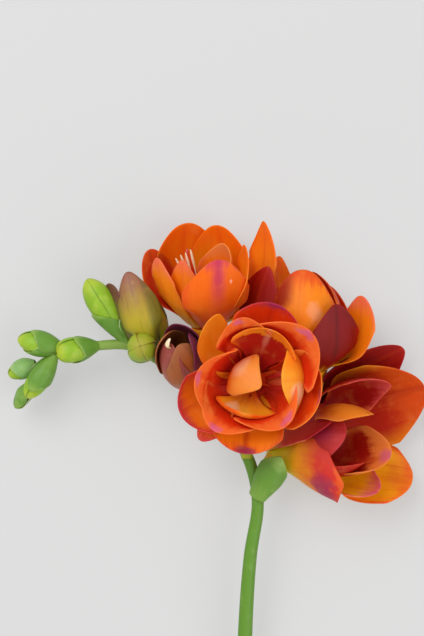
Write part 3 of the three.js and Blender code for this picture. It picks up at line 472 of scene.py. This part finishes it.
blooms = {
    "front": [
        {"whorl": "outer", "turn": 75, "reach": 26.5, "rise": 12, "width": 25, "tip": 0.75,
         "skin": "crown", "curl": 1.5},
        {"whorl": "outer", "turn": 146, "sway": -26, "reach": 24, "rise": 8, "width": 13, "tip": 0.85,
         "cup": 30, "skin": "strap"},
        {"whorl": "outer", "turn": 203, "reach": 26, "rise": 10.5, "width": 22, "tip": 0.7,
         "skin": "leftLip", "curl": 2, "edge": 1.5},
        {"whorl": "outer", "turn": 228, "reach": 25, "rise": 8, "width": 9, "tip": 0.8,
         "skin": "leftLip"},
        {"whorl": "outer", "turn": 264, "reach": 23, "rise": 9.5, "width": 24, "tip": 0.85, "cup": 26,
         "skin": "veined"},
        {"whorl": "outer", "turn": 350, "reach": 24.5, "rise": 14, "width": 29, "tip": 0.75,
         "skin": "rightLip", "curl": 4, "edge": 2},
        {"whorl": "cup", "turn": 41, "reach": 20, "rise": 21.5, "width": 33, "cup": 16, "skin": "bowl",
         "curl": -4, **slim},
        {"whorl": "cup", "turn": 102, "reach": 17, "rise": 20, "width": 20, "cup": 13, "skin": "bowl",
         "curl": -4, **slim},
        {"whorl": "cup", "turn": 174, "reach": 13.5, "rise": 20, "width": 27, "cup": 14, "skin": "bowl",
         "curl": -5, "twist": -20, **slim},
        {"whorl": "cup", "turn": 226, "reach": 15.5, "rise": 17, "width": 25, "cup": 14, "skin": "bowl",
         "curl": -4, **slim},
        {"whorl": "cup", "turn": 308, "reach": 12, "rise": 17.5, "width": 30, "cup": 13, "skin": "bowl",
         "curl": -5, **slim},
        {"whorl": "inner", "turn": 72, "reach": 17.5, "rise": 16.5, "width": 25, "lean": 62, "belly": 0.7,
         "cup": 13, "tip": 0.8, "skin": "lip", **slim},
        {"whorl": "inner", "turn": 4, "reach": 8.6, "rise": 16, "width": 28, "lean": 74, "belly": 1.5,
         "cup": 18, "tip": 0.75, "skin": "hood", **slim},
        {"whorl": "inner", "turn": 138, "sway": 12, "reach": -3, "rise": 13.5, "width": 17, "lean": 60,
         "belly": 1.0, "cup": 11, "tip": 0.45, "skin": "heart"},
        {"whorl": "inner", "turn": 255, "reach": 12, "rise": 11.5, "width": 22, "lean": 64, "belly": 0.8,
         "cup": 14, "tip": 0.8, "curl": 2, "skin": "basin", **slim},
    ],
    "right": [
        {"whorl": "outer", "turn": 250, "twist": -50, "reach": 17, "rise": 18.5, "width": 28, "ring": 3.6,
         "start": -11, "lean": 35, "tip": 0.3, "drop": 0.3, "skin": "goldRed", "curl": 2, "edge": 1.5,
         "wave": 0.8},
        {"whorl": "outer", "turn": 138, "reach": 9, "rise": 19.7, "width": 19, "ring": 3.6, "start": -11,
         "lean": 35, "tip": 0.8, "skin": "redCheek", "edge": -1},
        {"whorl": "outer", "turn": 60, "reach": 32, "rise": 34, "width": 26, "skin": "plum"},
        {"whorl": "outer", "turn": 36, "reach": 25, "rise": 38, "width": 34, "tip": 0.75, "cup": 22,
         "skin": "emberGold"},
        {"whorl": "outer", "turn": 331, "reach": 29.5, "rise": 26.5, "width": 25, "tip": 0.7,
         "drop": 0.16, "cup": 26, "skin": "gold"},
        {"whorl": "outer", "turn": 305, "reach": 21, "rise": 22, "width": 22, "tip": 0.8,
         "skin": "goldPink", "edge": 1},
        {"whorl": "cup", "turn": 325, "reach": 9.5, "rise": 27.5, "width": 26, "cup": 10, "lean": 60,
         "tip": 0.85, "drop": 0.14, "skin": "pinkRim", "curl": -3},
        {"whorl": "cup", "turn": 280, "reach": 9, "rise": 23, "width": 18, "cup": 10, "lean": 60,
         "tip": 0.85, "skin": "deepCup"},
        {"whorl": "cup", "turn": 66, "reach": 17, "rise": 33, "width": 18, "cup": 14, "skin": "curled",
         "edge": 3},
        {"whorl": "inner", "turn": 160, "reach": 3, "rise": 21, "width": 20, "skin": "cheek", "lean": 50,
         "belly": 0.6, "cup": 10, "tip": 0.8},
        {"whorl": "inner", "turn": 98, "reach": 5.5, "rise": 29.5, "width": 20, "skin": "topLip",
         "lean": 50, "belly": 0.7, "cup": 11, "tip": 0.8, "drop": 0.16},
    ],
    "upper_right": [
        {"whorl": "outer", "turn": 305, "reach": 16, "rise": 25.5, "width": 22, "tip": 0.6, "drop": 0.34,
         "cup": 24, "skin": "darkRed"},
        {"whorl": "outer", "turn": 355, "reach": 17.5, "rise": 24.4, "width": 16, "tip": 0.6, "cup": 40,
         "skin": "orangePink", "twist": 65},
        {"whorl": "outer", "turn": 54, "reach": 12, "rise": 25, "width": 20, "skin": "ember"},
        {"whorl": "outer", "turn": 126, "reach": 14.6, "rise": 35, "width": 15, "skin": "orange"},
        {"whorl": "outer", "turn": 192, "reach": 11.5, "rise": 35.7, "width": 22, "lean": 64,
         "belly": 0.6, "tip": 0.4, "cup": 24, "twist": 50, "skin": "plum"},
        {"whorl": "cup", "turn": 262, "reach": 5, "rise": 35, "width": 25, "lean": 50, "belly": 0.75,
         "cup": 12, "tip": 0.8, "skin": "dome"},
        {"whorl": "cup", "turn": 222, "reach": 8, "rise": 31, "width": 18, "lean": 50, "cup": 11,
         "skin": "ember"},
        {"whorl": "inner", "turn": 41, "reach": 5, "rise": 33, "width": 20, "lean": 50, "belly": 0.65,
         "cup": 10, "skin": "ember", "curl": 2},
    ],
    "upper_left": [
        {"whorl": "outer", "turn": 284, "reach": 18, "rise": 28.7, "width": 24, "tip": 0.72, "drop": 0.34,
         "lean": 60, "cup": 18, "skin": "magentaLine"},
        {"whorl": "outer", "turn": 208, "reach": 17, "rise": 26.4, "width": 13, "cup": 24, "lean": 50,
         "skin": "orangePink", "twist": 15},
        {"whorl": "outer", "turn": 168, "reach": 19, "rise": 25, "width": 17, "tip": 0.75, "cup": 40,
         "lean": 50, "skin": "ember", "twist": -30},
        {"whorl": "outer", "turn": 120, "reach": 15.2, "rise": 31.4, "width": 28, "tip": 0.8, "cup": 22,
         "skin": "orange", "curl": 1.5},
        {"whorl": "outer", "turn": 70, "reach": 12, "rise": 31, "width": 24, "tip": 0.7, "cup": 22,
         "skin": "orange", "curl": 1},
        {"whorl": "outer", "turn": 18, "reach": 19.7, "rise": 33.2, "width": 17, "tip": 0.45, "cup": 40,
         "skin": "orange", "twist": 20},
        {"whorl": "cup", "turn": 334, "reach": 14, "rise": 29.5, "width": 16, "lean": 50, "belly": 0.5,
         "cup": 30, "tip": 0.6, "twist": 48, "skin": "orange"},
        {"whorl": "cup", "turn": 236, "reach": 12.5, "rise": 26.3, "width": 14, "lean": 50, "belly": 0.5,
         "tip": 0.5, "skin": "orangePink"},
        {"whorl": "inner", "turn": 34, "reach": 7, "rise": 26.5, "width": 24, "belly": 0.6,
         "skin": "fold"},
        {"whorl": "inner", "turn": 170, "reach": 6, "rise": 26, "width": 15, "skin": "bowl"},
    ],
}
bloomFrames = {}
for bloom, petals in blooms.items():
    seat, facing = mouthOf(bloom + "_bloom_tube")
    bloomFrames[bloom] = standFrame(seat, facing)
    counts = {}
    for index, given in enumerate(petals):
        kind = given["whorl"]
        counts[kind] = counts.get(kind, 0) + 1
        petal = {**petalHabit, **whorls[kind], "phase": phaseStep * index, **given}
        name = f"{bloom}_{kind}_petal_{counts[kind]}"
        sheet = shapedGrid(name + "_skin", petalCells, petalPlace(petal, bloomFrames[bloom]))
        finishPiece(sheet, name, petal["skin"], petalThickness)
print("petals made:", sum(len(petals) for petals in blooms.values()))


# The stem's line, from its cut end up to the first bloom and on along the spike, in
# millimetres in the order that it grows; its first point is the CAD cut end.
stem = {
    "line": [(-1, -142, 2.75), (-2, -104.48, 5.34), (-1.5, -52.22, 8.95), (0.2, -25.42, 10.8),
             (2.6, -8, 12), (0.4, 4, 11.5), (-5.5, 15.5, 10), (-15, 26.5, 9.5), (-27, 36.5, 11),
             (-38.4, 42.8, 12), (-47.5, 43, 13), (-51, 42.5, 13.6)],
    "cutRadius": 2.75, "spikeRadius": 2.0, "tipRadius": 1.6, "length": 134,
    "cells": (20, 160), "ripple": 0.012,
}
ridges = 5  # low ridges run along the stem and the tubes


def smoothLine(points, steps=200, fineSteps=40):
    # A centripetal Catmull-Rom curve through the points, sampled at equal lengths
    points = [Vector(p) for p in points]
    ends = [2 * points[0] - points[1]] + points + [2 * points[-1] - points[-2]]
    fine = []
    for i in range(len(points) - 1):
        a, b, c, d = ends[i:i + 4]
        ab, bc, cd = [math.sqrt((q - p).length) for p, q in ((a, b), (b, c), (c, d))]
        out = ((b - a) / ab - (c - a) / (ab + bc) + (c - b) / bc) * bc
        into = ((c - b) / bc - (d - b) / (bc + cd) + (d - c) / cd) * bc
        for k in range(fineSteps):
            t = k / fineSteps
            fine.append((2 * t ** 3 - 3 * t ** 2 + 1) * b + (t ** 3 - 2 * t ** 2 + t) * out
                        + (3 * t ** 2 - 2 * t ** 3) * c + (t ** 3 - t ** 2) * into)
    fine.append(points[-1])
    lengths = [0.0]
    for p, q in zip(fine, fine[1:]):
        lengths.append(lengths[-1] + (q - p).length)
    line, at = [], 0
    for i in range(steps + 1):
        wanted = lengths[-1] * i / steps
        while at < len(fine) - 2 and lengths[at + 1] < wanted:
            at += 1
        share = (wanted - lengths[at]) / (lengths[at + 1] - lengths[at])
        line.append(fine[at].lerp(fine[at + 1], clamp(share)))
    return line, lengths[-1]


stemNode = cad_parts["stem"]
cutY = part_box("stem")[0].y
cutPoints = [v.co for v in stemNode.data.vertices if v.co.y < cutY + mm(0.3)]  # the cut end's rim
cutEnd = sum(cutPoints, Vector()) / len(cutPoints)
shift = cutEnd * 1000 - Vector(stem["line"][0])  # from the design's millimetres to the frame's
print("design shift", [round(c, 2) for c in shift])


def inFrame(point):
    return (Vector(point) + shift) / 1000


def tubePlace(line, radiusAt, ripple=0.0):
    # Wraps a grid round a line: u goes round it, v along it
    count = len(line) - 1

    def place(u, v):
        at = v * count
        i = min(count - 1, int(at))
        centre = line[i].lerp(line[i + 1], at - i)
        low, high = max(0, i - 1), min(count, i + 2)
        ahead = (line[high] - line[low]).normalized()
        side = ahead.cross(Vector((0, 0, 1))).normalized()
        up = side.cross(ahead)
        angle = 2 * math.pi * u
        radius = mm(radiusAt(v) * (1 + ripple * math.cos(ridges * angle)))
        return centre + (side * math.cos(angle) + up * math.sin(angle)) * radius

    return place


def straightLine(root, tip, steps):
    return [root.lerp(tip, i / steps) for i in range(steps + 1)]


stemPoints, stemWhole = smoothLine(stem["line"])
stemLine = [inFrame(p) for p in stemPoints]
spikeShare = stem["length"] / stemWhole


def stemRadius(v):
    if v < spikeShare:
        return blendBetween(stem["cutRadius"], stem["spikeRadius"], (v / spikeShare) ** 2)
    return blendBetween(stem["spikeRadius"], stem["tipRadius"], (v - spikeShare) / (1 - spikeShare))


stemSkin = shapedGrid("stem_skin", stem["cells"], tubePlace(stemLine, stemRadius, stem["ripple"]),
                      closed=True)
closeEnds(stemSkin)
finishPiece(stemSkin, "stem", "stemSkin")
print("stem made,", round(stemWhole), "mm long")

# The tubes that carry the open blooms: hollow funnels, yellow green at the root
tube = {"root": 1.7, "wall": 0.6, "flare": 2.2, "sag": 0.55, "ripple": 0.03, "height": 12,
        "cells": (20, 20), "steps": 24}
tubeRoots = {"front": (-1, 6), "right": (2, -5), "upper_right": (-3, 12), "upper_left": (-8, 19.5)}


def tubeRadius(v):
    return blendBetween(tube["root"], tubeMouth, v ** tube["flare"])


for bloom, (rootX, rootY) in tubeRoots.items():
    seat, facing = mouthOf(bloom + "_bloom_tube")
    start = inFrame((rootX, rootY, tube["height"]))
    bend = seat - facing * tube["sag"] * (seat - start).length
    sides = zip(straightLine(start, bend, tube["steps"]), straightLine(bend, seat, tube["steps"]))
    line = [a.lerp(b, i / tube["steps"]) for i, (a, b) in enumerate(sides)]  # bends from a to b
    funnel = shapedGrid(bloom + "_tube_skin", tube["cells"], tubePlace(line, tubeRadius, tube["ripple"]),
                        closed=True)
    finishPiece(funnel, bloom + "_bloom_tube", "tubeSkin", tube["wall"])

# Buds. A green bud is a plump core under tepals that meet at its tip, with bracts
# round its root; the two ripe buds are made of loose tepals like small petals.
buds = {
    "opening_bud": {"from": (-19, 30, 10), "tip": (-24.3, 45, 30), "girth": 6.2, "fullest": 0.6,
                    # The opening bud's core is painted shade, near black.
                    "core": 0.62, "coreSkin": "paintedShadeCoreSkin", "bractShare": 0.24,
                    "bractSkin": "paleBractSkin"},
    "striped_bud": {"from": (-30, 40, 11), "tip": (-39.5, 67.5, 20), "girth": 5.4, "fullest": 0.55,
                    "core": 0.8, "coreSkin": "dullBudSkin", "bractShare": 0.2, "bractSkin": "bractSkin"},
    "round_bud": {"from": (-34, 41.5, 12), "tip": (-35, 42.8, 27), "girth": 4.6, "fullest": 0.6,
                  "core": 0.99, "tepals": 4, "skin": "roundBudSkin", "bractShare": 0.52,
                  "bractSkin": "paleBractSkin"},
    "upright_bud": {"from": (-39.5, 43.5, 12.5), "tip": (-52.4, 64.3, 17), "girth": 4.5, "fullest": 0.66,
                    "core": 0.97, "tepals": 3, "skin": "greenBudSkin", "bractShare": 0.58,
                    "bractSkin": "bractSkin"},
    "collared_bud": {"from": (-48, 43, 13), "tip": (-62.3, 40.6, 17), "girth": 4.0, "fullest": 0.66,
                     "core": 0.96, "tepals": 3, "skin": "greenBudSkin", "blunt": 0.3, "bractShare": 0.7,
                     "bractSkin": "bractSkin"},
    "left_bud": {"from": (-59.5, 41.8, 14), "tip": (-75, 45, 13), "girth": 3.7, "fullest": 0.55,
                 "core": 0.96, "tepals": 3, "skin": "greenBudSkin", "bractShare": 0.86,
                 "bractSkin": "bractSkin"},
    "lower_bud": {"from": (-62.6, 40.2, 14), "tip": (-72.4, 26, 12), "girth": 3.4, "fullest": 0.6,
                  "core": 0.96, "tepals": 3, "skin": "greenBudSkin", "bractShare": 0.93,
                  "bractSkin": "bractSkin"},
    "last_bud": {"from": (-69.3, 37.2, 11), "tip": (-78.3, 33.3, 9), "girth": 2.8, "fullest": 0.5,
                 "core": 0.96, "tepals": 3, "skin": "greenBudSkin", "bractShare": 0.9,
                 "bractSkin": "paleBractSkin"},
}
budCells = {"core": (16, 16), "tepal": (12, 16), "bract": (14, 12)}
# least and neck are radii, neckTo is where the neck ends, and the powers round the root and tip
budRound = {"least": 0.25, "neck": 1.1, "neckTo": 0.3, "rootPower": 0.9, "tipPower": 0.5}
budCore = {"least": 0.3, "girthLess": 0.5, "under": 0.2, "steps": 16}  # the core keeps under the tepals
# A wrap's spread is degrees to each side, shared out between the tepals, and its lift and
# overlap are millimetres off the bud's round
tepalWrap = {"turn": 250, "spread": 200, "lift": 0, "overlap": 0.25, "top": 0.9995, "taper": 0}
bractWrap = {"turn": 235, "spread": 105, "lift": 0.55, "overlap": 0.25, "shorter": 0.12, "taper": 0.7}
tepalThickness = {"loose": 0.45, "wrapped": 0.3}
bractThickness = 0.4
looseHabit = {**petalHabit, "ring": 1.8, "claw": 0.6, "tip": 0.5, "lean": 46, "belly": 0.52, "cup": 8,
              "phase": 0.4, "wave": 0.25, "crease": 0.15}
looseTepals = {
    "opening_bud": [
        {"turn": 75, "reach": 7, "rise": 27.5, "width": 18, "skin": "openingPurpleSkin", "curl": 2},
        {"turn": 15, "reach": 6, "rise": 25, "width": 18, "skin": "openingPurpleSkin", "curl": 1.5},
        {"turn": 140, "reach": 5.5, "rise": 26.5, "width": 18, "skin": "openingBrownSkin", "curl": 2.5},
        {"turn": 312, "reach": 3.8, "rise": 25.5, "width": 19, "skin": "openingBrownSkin", "curl": 2},
        {"turn": 225, "reach": 3.2, "rise": 25.5, "width": 19, "skin": "openingBudSkin", "curl": 2.5},
        {"turn": 265, "reach": 3.2, "rise": 22.5, "width": 14, "skin": "openingBrownSkin", "curl": 1},
    ],
    "striped_bud": [
        {"turn": 60, "reach": 1, "rise": 27, "width": 15, "skin": "dullBudSkin"},
        {"turn": 194, "twist": 45, "reach": 6.3, "rise": 27.5, "width": 15, "belly": 0.55, "cup": 16,
         "tip": 0.8, "skin": "dullBudSkin"},
        {"turn": 10, "reach": 1, "rise": 28, "width": 13, "skin": "stripedBudSkin"},
        {"turn": 282, "reach": 0.6, "rise": 29.8, "width": 16, "belly": 0.56, "tip": 0.55,
         "skin": "stripedBudSkin"},
    ],
}


def budSwell(bud, s):
    # How full the bud is at the share s of its length, 1 where it is fullest
    if s < bud["fullest"]:
        share, power = s / bud["fullest"], budRound["rootPower"]
    else:
        share, power = (1 - s) / (1 - bud["fullest"]), bud.get("blunt", budRound["tipPower"])
    return math.sin(math.pi / 2 * clamp(share)) ** power


def wrapPlace(bud, budFrame, length, wrap):
    # A patch of the bud's round, from its root to the share top of its length. The tip of
    # a patch that tapers is drawn in and its corners fall back.
    def place(u, v):
        across = 2 * u - 1
        s = wrap["top"] * (v - 0.3 * wrap["taper"] * abs(across) ** 3 * v ** 3)
        narrowing = 1 - wrap["taper"] * clamp((v - 0.5) / 0.5) ** 2
        angle = math.radians(wrap["turn"] + wrap["spread"] * across * narrowing)
        radius = max(budRound["least"], bud["girth"] * budSwell(bud, s))
        radius += wrap["lift"] - wrap["overlap"] * across
        if s < budRound["neckTo"]:
            radius = max(budRound["neck"], radius)
        return budFrame @ (Vector((radius * math.cos(angle), radius * math.sin(angle), s * length)) / 1000)

    return place


for node, bud in buds.items():
    root, tip = inFrame(bud["from"]), inFrame(bud["tip"])
    budFrame = standFrame(root, (tip - root).normalized())
    length = (tip - root).length * 1000
    axis = straightLine(root, root.lerp(tip, bud["core"]), budCore["steps"])

    def coreRadius(v):
        swell = (bud["girth"] - budCore["girthLess"]) * budSwell(bud, v * bud["core"])
        return max(budCore["least"], swell - budCore["under"])

    core = shapedGrid(node + "_core", budCells["core"], tubePlace(axis, coreRadius), closed=True)
    closeEnds(core)
    finishPiece(core, node, bud.get("coreSkin", bud.get("skin")))
    for k, given in enumerate(looseTepals.get(node, [])):
        tepal = shapedGrid(f"{node}_tepal_{k + 1}", budCells["tepal"],
                           petalPlace({**looseHabit, **given}, budFrame))
        finishPiece(tepal, node, given["skin"], tepalThickness["loose"])
    count = bud.get("tepals", 0)
    for k in range(count):
        wrap = {**tepalWrap, "turn": tepalWrap["turn"] + 360 * k / count,
                "spread": tepalWrap["spread"] / count}
        tepal = shapedGrid(f"{node}_tepal_{k + 1}", budCells["tepal"],
                           wrapPlace(bud, budFrame, length, wrap))
        finishPiece(tepal, node, bud["skin"], tepalThickness["wrapped"])
    for k in range(2):
        wrap = {**bractWrap, "turn": bractWrap["turn"] + 180 * k,
                "top": bud["bractShare"] * (1 - bractWrap["shorter"] * k)}
        bract = shapedGrid(f"{node}_bract_{k + 1}", budCells["bract"],
                           wrapPlace(bud, budFrame, length, wrap))
        finishPiece(bract, node, bud["bractSkin"], bractThickness)
print("buds made:", len(buds))

# The cream curl that shows in the opening bud, and the last bract below the last bud
curlPetal = {**looseHabit, "turn": 200, "ring": 0.6, "reach": -1.2, "rise": 3.6, "width": 3.2, "cup": 1.4,
             "belly": 0.9, "cells": (8, 10), "thickness": 0.5}
curlFrame = standFrame(inFrame((-24.4, 42.6, 28.5)), Vector((-0.5, 0.6, 0.6)).normalized())
curl = shapedGrid("opening_bud_curl", curlPetal["cells"], petalPlace(curlPetal, curlFrame))
finishPiece(curl, "opening_bud", "creamSkin", curlPetal["thickness"])
lastBract = {**looseHabit, "ring": 1.0, "reach": 0.2, "rise": 10.4, "cup": 2.6, "tip": 0.15, "drop": 0.1,
             "cells": (10, 12)}
lastRoot, lastTip = inFrame((-70.6, 31, 11)), inFrame((-76, 22.4, 9))
lastFrame = standFrame(lastRoot, (lastTip - lastRoot).normalized())
for k, (turn, width) in enumerate(((270, 8), (90, 7))):
    leaf = shapedGrid(f"last_bract_{k + 1}", lastBract["cells"],
                      petalPlace({**lastBract, "turn": turn, "width": width}, lastFrame))
    finishPiece(leaf, "last_bud", "bractSkin", bractThickness)

# The bracts round the foot of the right bloom's tube
bracts = {
    "outer_bract": {"turn": 235, "reach": 5.2, "rise": 17, "width": 13, "cup": 5, "skin": "bractSkin"},
    "inner_bract": {"turn": 60, "reach": 4.6, "rise": 14, "width": 10, "cup": 4.5,
                    "skin": "paleBractSkin"},
}
bractHabit = {**petalHabit, "ring": 3.4, "lean": 20, "belly": 0.5, "claw": 0.5, "tip": 0.3, "drop": 0.3,
              "wave": 0.1, "phase": 0, "crease": 0.1, "cells": (12, 16), "thickness": 0.6}
bractFrame = standFrame(inFrame((2.2, -6.5, 12)), Vector((0.5, 0.85, 0.15)).normalized())
for node, given in bracts.items():
    leaf = shapedGrid(node + "_skin", bractHabit["cells"], petalPlace({**bractHabit, **given}, bractFrame))
    finishPiece(leaf, node, given["skin"], bractHabit["thickness"])

# Stamens of the upper left bloom: filaments that lean out of the pocket, with long anthers.
# Their heads stand in two rows, each step further out and up than the last.
stamens = {"count": 4, "filament": 0.22, "anther": 0.45, "antherFrom": 0.75, "swellFrom": 0.72,
           "swellLength": 0.29, "footRing": 0.6, "footTurn": 1.6, "foot": 0.3, "head": (-9.6, -3.4, 24.5),
           "step": (1.6, 0.5, 0.9), "cells": (8, 24), "steps": 12}


def stamenRadius(v):
    if v < stamens["antherFrom"]:
        return stamens["filament"]
    swell = math.sin(math.pi * clamp((v - stamens["swellFrom"]) / stamens["swellLength"])) ** 0.5
    return stamens["anther"] * swell


for k in range(stamens["count"]):
    around = stamens["footTurn"] * k
    foot = Vector((stamens["footRing"] * math.cos(around), stamens["footRing"] * math.sin(around),
                   stamens["foot"]))
    stepX, stepY, stepZ = stamens["step"]
    head = Vector(stamens["head"]) + Vector((stepX * k, stepY * (k % 2), stepZ * k))
    line = straightLine(foot, head, stamens["steps"])
    line = [bloomFrames["upper_left"] @ (point / 1000) for point in line]
    stamen = shapedGrid(f"stamen_{k + 1}", stamens["cells"], tubePlace(line, stamenRadius), closed=True)
    closeEnds(stamen)
    finishPiece(stamen, "upper_left_stamens", "creamSkin")

# The style of the front bloom, with its cream stigma, comes up through its tube
stalk = {"end": (-0.8, -2.2, 12), "radius": 0.5, "stigmaFrom": 0.8, "stigmaLength": 0.21, "stigma": 0.8,
         "cells": (10, 24), "steps": 12}
styleLine = []
for x, y, z in straightLine(Vector(), Vector(stalk["end"]), stalk["steps"]):
    point = Vector((x, y * z / stalk["end"][2], z))  # it bows, so its foot stands upright
    styleLine.append(bloomFrames["front"] @ (point / 1000))


def styleRadius(v):
    if v < stalk["stigmaFrom"]:
        return stalk["radius"]
    swell = math.sin(math.pi * clamp((v - stalk["stigmaFrom"]) / stalk["stigmaLength"])) ** 0.7
    return stalk["radius"] + stalk["stigma"] * swell


style = shapedGrid("front_style", stalk["cells"], tubePlace(styleLine, styleRadius), closed=True)
closeEnds(style)
finishPiece(style, "front_bloom_tube", "stigmaSkin")
print("bracts and stamens made")

# Floor, light and camera. The board is matt and lit from within as well as by the lamps, so
# that it stays pale and even; the lamps give it only a soft shadow.
board = {"size": 6, "colour": "#8f8f90", "roughness": 0.95, "glow": "#e3e3e2", "glowStrength": 0.48}
bpy.ops.object.select_all(action="DESELECT")
bpy.ops.mesh.primitive_plane_add(size=board["size"], location=(0, 0, surfaceZ))
floor = bpy.context.object
floor.name = "floor"
material, tree = newMaterial("matt pale board")
boardSurface = addNode(tree, "ShaderNodeBsdfPrincipled", inputs={
    "Base Color": linear(board["colour"]), "Roughness": board["roughness"],
    "Emission Color": linear(board["glow"]), "Emission Strength": board["glowStrength"]})
addNode(tree, "ShaderNodeOutputMaterial", inputs={0: boardSurface})
floor.data.materials.append(material)

sky = {"colour": "#f4f4f3", "strength": 0.72}
world = bpy.data.worlds.new("studio")
bpy.context.scene.world = world
world.use_nodes = True
background = world.node_tree.nodes["Background"]
background.inputs["Color"].default_value = linear(sky["colour"])
background.inputs["Strength"].default_value = sky["strength"]

# Places and sizes in metres from the middle of the spray, power in watts
studio = {
    "key": {"place": (-0.5, 0.5, 0.95), "size": 0.8, "power": 8.5},
    "fill": {"place": (0.7, -0.35, 0.8), "size": 0.9, "power": 5.0},
}
middle = Vector((0, mm(60), 0))  # of the spray, on the surface
for name, lamp in studio.items():
    light = bpy.data.lights.new(name, "AREA")
    light.size = lamp["size"]
    light.energy = lamp["power"]
    holder = bpy.data.objects.new(name, light)
    holder.location = Vector(lamp["place"]) + middle
    holder.rotation_euler = (middle - holder.location).to_track_quat("-Z", "Y").to_euler()
    bpy.context.scene.collection.objects.link(holder)

# The camera looks straight down on the blooms. centre is in the design's millimetres, and
# tall is how much of the surface the frame shows from top to bottom, in metres.
view = {"centre": (-12.2, 51.8, 20), "distance": 0.7, "tall": 0.2035, "sensor": 24}
camera = bpy.data.cameras.new("camera")
camera.sensor_fit = "VERTICAL"
camera.sensor_height = view["sensor"]
camera.lens = view["sensor"] * view["distance"] / view["tall"]
camera.clip_start = 0.01
cameraHolder = bpy.data.objects.new("camera", camera)
cameraHolder.location = inFrame(view["centre"]) + Vector((0, 0, view["distance"]))
bpy.context.scene.collection.objects.link(cameraHolder)
bpy.context.scene.camera = cameraHolder
bpy.context.scene.view_settings.view_transform = "Standard"
print("stage set")
